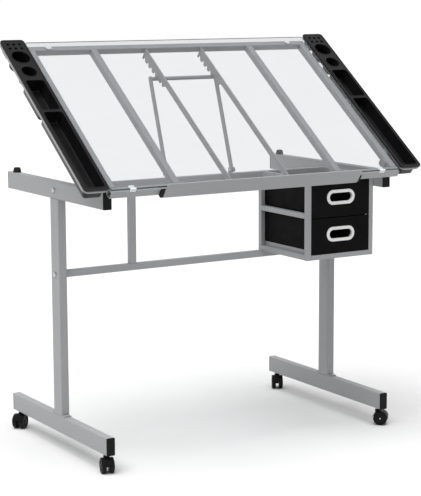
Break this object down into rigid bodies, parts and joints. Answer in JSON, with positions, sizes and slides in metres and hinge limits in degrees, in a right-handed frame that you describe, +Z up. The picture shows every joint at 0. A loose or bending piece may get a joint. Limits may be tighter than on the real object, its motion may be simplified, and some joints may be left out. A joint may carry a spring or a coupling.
{
  "type": "drafting table",
  "caption": "Tilting glass-top drafting table on a T-leg steel frame with casters, lift-out side trays, a pencil ledge and a hung drawer unit.",
  "frame": {"origin": "on the floor, in the middle of the bounding box of the table as placed (desktop tilted)", "axes": "+X to the right of the person sitting at it, +Y to the back, +Z up"},
  "size_m": [1.122, 0.6768, 1.1721],
  "materials": {
    "silver_paint": "satin silver-grey powder coat",
    "glass": "clear tempered glass with a green-blue edge",
    "clear_plastic": "clear soft plastic",
    "steel": "zinc-plated",
    "rubber": "matt black",
    "grip_silver": "satin silver",
    "drawer_black": "fine-grained matt black",
    "wheel_black": "semi-gloss black nylon",
    "black_plastic": "moulded satin black"
  },
  "bodies": {
    "base": {"beam_bumpers": "rubber", "beam_end_caps": "black_plastic", "caster_stems": "steel", "centre_post": "silver_paint", "crossbar_bolts": "steel", "drawer_runners": "silver_paint", "foot_end_caps": "black_plastic", "hinge_lugs": "silver_paint", "hinge_pins": "steel", "left_beam": "silver_paint", "left_foot": "silver_paint", "left_leg": "silver_paint", "leg_flange_bolts": "steel", "leg_flanges": "silver_paint", "lower_crossbar": "silver_paint", "right_beam": "silver_paint", "right_foot": "silver_paint", "right_leg": "silver_paint", "stay_lugs": "silver_paint", "stay_pins": "steel", "unit_cross_rails": "silver_paint", "unit_front_posts": "silver_paint", "unit_left_rails": "silver_paint", "unit_rear_posts": "silver_paint", "unit_right_rails": "silver_paint", "upper_crossbar": "silver_paint"},
    "desktop": {"desk_front_tube": "silver_paint", "desk_rear_tube": "silver_paint", "desk_left_tube": "silver_paint", "desk_right_tube": "silver_paint", "desk_ribs": "silver_paint", "glass_top": "glass", "glass_pads": "clear_plastic", "glass_clips": "clear_plastic", "hinge_ears": "silver_paint", "tilt_racks": "silver_paint", "ledge_glides": "black_plastic", "left_tray_loop": "silver_paint", "right_tray_loop": "silver_paint"},
    "stay": {"stay_legs": "silver_paint", "stay_bar": "silver_paint"},
    "ledge": {"pencil_ledge": "silver_paint"},
    "left_tray": {"left_tray": "black_plastic"},
    "right_tray": {"right_tray": "black_plastic"},
    "upper_drawer": {"upper_drawer": "drawer_black", "upper_drawer_grip": "grip_silver"},
    "lower_drawer": {"lower_drawer": "drawer_black", "lower_drawer_grip": "grip_silver"},
    "front_left_caster": {"front_left_caster_hood": "black_plastic"},
    "front_left_wheels": {"front_left_caster_wheels": "wheel_black", "front_left_caster_axle": "steel"},
    "rear_left_caster": {"rear_left_caster_hood": "black_plastic"},
    "rear_left_wheels": {"rear_left_caster_wheels": "wheel_black", "rear_left_caster_axle": "steel"},
    "front_right_caster": {"front_right_caster_hood": "black_plastic"},
    "front_right_wheels": {"front_right_caster_wheels": "wheel_black", "front_right_caster_axle": "steel"},
    "rear_right_caster": {"rear_right_caster_hood": "black_plastic"},
    "rear_right_wheels": {"rear_right_caster_wheels": "wheel_black", "rear_right_caster_axle": "steel"}
  },
  "joints": [
    {"name": "desktop_tilt", "type": "hinge", "parent": "base", "child": "desktop", "pos_m": [0, -0.25658, 0.787], "axis": [1, 0, 0], "range_deg": [-36.1, 4]},
    {"name": "stay_swing", "type": "hinge", "parent": "base", "child": "stay", "pos_m": [0, 0.03212, 0.775], "axis": [1, 0, 0], "range_deg": [-72.3, 8.1]},
    {"name": "ledge_slide", "type": "slide", "parent": "desktop", "child": "ledge", "axis": [0, -0.5892, 0.808], "range_m": [-0.017, 0]},
    {"name": "left_tray_lift", "type": "slide", "parent": "desktop", "child": "left_tray", "axis": [0, -0.5892, 0.808], "range_m": [0, 0.06]},
    {"name": "right_tray_lift", "type": "slide", "parent": "desktop", "child": "right_tray", "axis": [0, -0.5892, 0.808], "range_m": [0, 0.06]},
    {"name": "upper_drawer_slide", "type": "slide", "parent": "base", "child": "upper_drawer", "axis": [0, -1, 0], "range_m": [0, 0.19]},
    {"name": "lower_drawer_slide", "type": "slide", "parent": "base", "child": "lower_drawer", "axis": [0, -1, 0], "range_m": [0, 0.19]},
    {"name": "front_left_swivel", "type": "hinge", "parent": "base", "child": "front_left_caster", "pos_m": [-0.4675, -0.23958, 0.052], "axis": [0, 0, 1], "continuous": true},
    {"name": "front_left_roll", "type": "hinge", "parent": "front_left_caster", "child": "front_left_wheels", "pos_m": [-0.46998, -0.24823, 0.021], "axis": [0.9613, -0.2756, 0], "continuous": true},
    {"name": "rear_left_swivel", "type": "hinge", "parent": "base", "child": "rear_left_caster", "pos_m": [-0.4675, 0.31042, 0.052], "axis": [0, 0, 1], "continuous": true},
    {"name": "rear_left_roll", "type": "hinge", "parent": "rear_left_caster", "child": "rear_left_wheels", "pos_m": [-0.47449, 0.30476, 0.021], "axis": [0.6293, -0.7771, 0], "continuous": true},
    {"name": "front_right_swivel", "type": "hinge", "parent": "base", "child": "front_right_caster", "pos_m": [0.4675, -0.23958, 0.052], "axis": [0, 0, 1], "continuous": true},
    {"name": "front_right_roll", "type": "hinge", "parent": "front_right_caster", "child": "front_right_wheels", "pos_m": [0.47386, -0.24594, 0.021], "axis": [0.7071, 0.7071, 0], "continuous": true},
    {"name": "rear_right_swivel", "type": "hinge", "parent": "base", "child": "rear_right_caster", "pos_m": [0.4675, 0.31042, 0.052], "axis": [0, 0, 1], "continuous": true},
    {"name": "rear_right_roll", "type": "hinge", "parent": "rear_right_caster", "child": "rear_right_wheels", "pos_m": [0.46287, 0.30271, 0.021], "axis": [0.8572, -0.515, 0], "continuous": true}
  ],
  "couplings": [
    {"joint": "stay_swing", "follows": "desktop_tilt", "ratio": 2}
  ]
}
